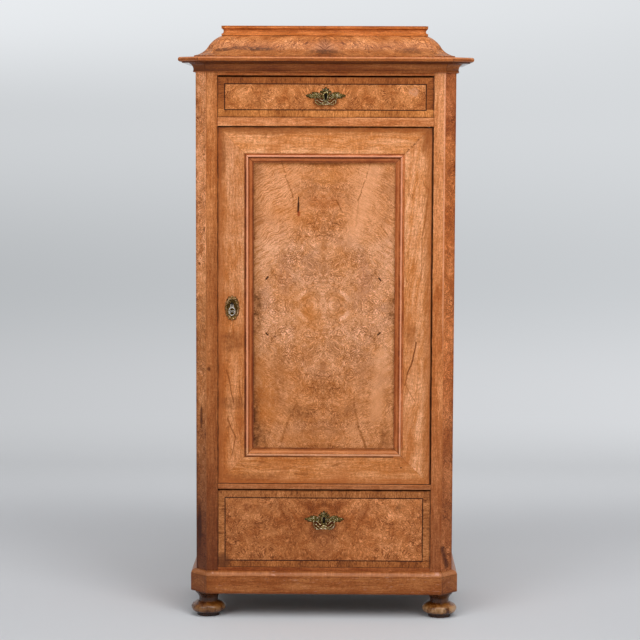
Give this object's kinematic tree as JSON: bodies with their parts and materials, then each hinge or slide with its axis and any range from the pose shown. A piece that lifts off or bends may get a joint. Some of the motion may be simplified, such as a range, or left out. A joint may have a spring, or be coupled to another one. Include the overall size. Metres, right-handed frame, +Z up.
{
  "type": "cupboard",
  "caption": "Tall walnut-veneered cupboard with a framed door between an upper and a lower drawer, canted corners, bun feet, cove cornice and hipped pediment",
  "frame": {"origin": "middle of the underside of the bounding box, on the floor plane", "axes": "+Z up along the height, -Y out of the front, +X to the right seen from the front"},
  "size_m": [0.946, 0.505, 1.92],
  "materials": {
    "walnut": "veneered walnut, shellac semi-gloss",
    "walnut_burl": "walnut burl veneer, shellac semi-gloss",
    "walnut_dark": "dark stained turned wood, worn polish",
    "pine": "bare softwood, aged",
    "brass": "cast brass with dark patina",
    "steel": "worn steel"
  },
  "bodies": {
    "carcass": {"side_left": "walnut", "side_right": "walnut", "back_boards": "pine", "corner_post_left": "walnut_burl", "corner_post_right": "walnut_burl", "rail_bottom": "walnut", "rail_waist": "walnut", "rail_drawer": "walnut", "rail_frieze": "walnut", "bottom_board": "pine", "cupboard_floor": "pine", "dust_board": "pine", "top_board": "pine", "shelf_low": "pine", "shelf_middle": "pine", "shelf_high": "pine", "shelf_cleats": "pine", "drawer_guides": "pine", "foot_front_left": "walnut_dark", "foot_front_right": "walnut_dark", "feet_back": "walnut_dark", "foot_blocks": "pine", "plinth_front": "walnut_burl", "plinth_cants": "walnut_burl", "plinth_sides": "walnut_burl", "cove_front": "walnut_dark", "cove_returns": "walnut_dark", "cornice_board": "walnut", "pediment_front": "walnut_burl", "pediment_cants": "walnut_burl", "pediment_sides": "walnut_burl", "pediment_back": "pine", "pediment_cap": "walnut", "hinge_pins": "steel"},
    "door": {"door_stile_lock": "walnut", "door_stile_hinge": "walnut", "door_rail_top": "walnut", "door_rail_bottom": "walnut", "door_panel": "walnut_burl", "door_moulding": "walnut", "door_escutcheon": "brass", "door_lock": "steel", "door_hinges": "steel"},
    "key": {"door_key": "steel"},
    "key_loop": {"key_bow": "steel"},
    "lock_bolt": {"door_bolt": "steel"},
    "top_drawer": {"top_drawer_front": "walnut_burl", "top_drawer_sides": "pine", "top_drawer_back": "pine", "top_drawer_bottom": "pine", "top_drawer_pull": "brass", "top_drawer_lock": "steel"},
    "top_lock_bolt": {"top_drawer_bolt": "steel"},
    "low_drawer": {"low_drawer_front": "walnut_burl", "low_drawer_sides": "pine", "low_drawer_back": "pine", "low_drawer_bottom": "pine", "low_drawer_pull": "brass", "low_drawer_lock": "steel"},
    "low_lock_bolt": {"low_drawer_bolt": "steel"}
  },
  "joints": [
    {"name": "door_hinge", "type": "hinge", "parent": "carcass", "child": "door", "pos_m": [0.3324, -0.188, 1], "axis": [0, 0, 1], "range_deg": [0, 110]},
    {"name": "key_turn", "type": "hinge", "parent": "door", "child": "key", "pos_m": [-0.299, -0.1975, 1.0236], "axis": [0, 1, 0], "range_deg": [0, 360]},
    {"name": "bolt_slide", "type": "slide", "parent": "door", "child": "lock_bolt", "axis": [-1, 0, 0], "range_m": [0, 0.009]},
    {"name": "key_loop_swing", "type": "hinge", "parent": "key", "child": "key_loop", "pos_m": [-0.299, -0.2055, 1.0236], "axis": [-1, 0, 0], "range_deg": [0, 85]},
    {"name": "top_drawer_slide", "type": "slide", "parent": "carcass", "child": "top_drawer", "axis": [0, -1, 0], "range_m": [0, 0.31]},
    {"name": "top_bolt_slide", "type": "slide", "parent": "top_drawer", "child": "top_lock_bolt", "axis": [0, 0, 1], "range_m": [0, 0.012]},
    {"name": "low_drawer_slide", "type": "slide", "parent": "carcass", "child": "low_drawer", "axis": [0, -1, 0], "range_m": [0, 0.31]},
    {"name": "low_bolt_slide", "type": "slide", "parent": "low_drawer", "child": "low_lock_bolt", "axis": [0, 0, 1], "range_m": [0, 0.012]}
  ],
  "couplings": [
    {"joint": "key_turn", "follows": "bolt_slide", "rad_per_m": 698}
  ]
}
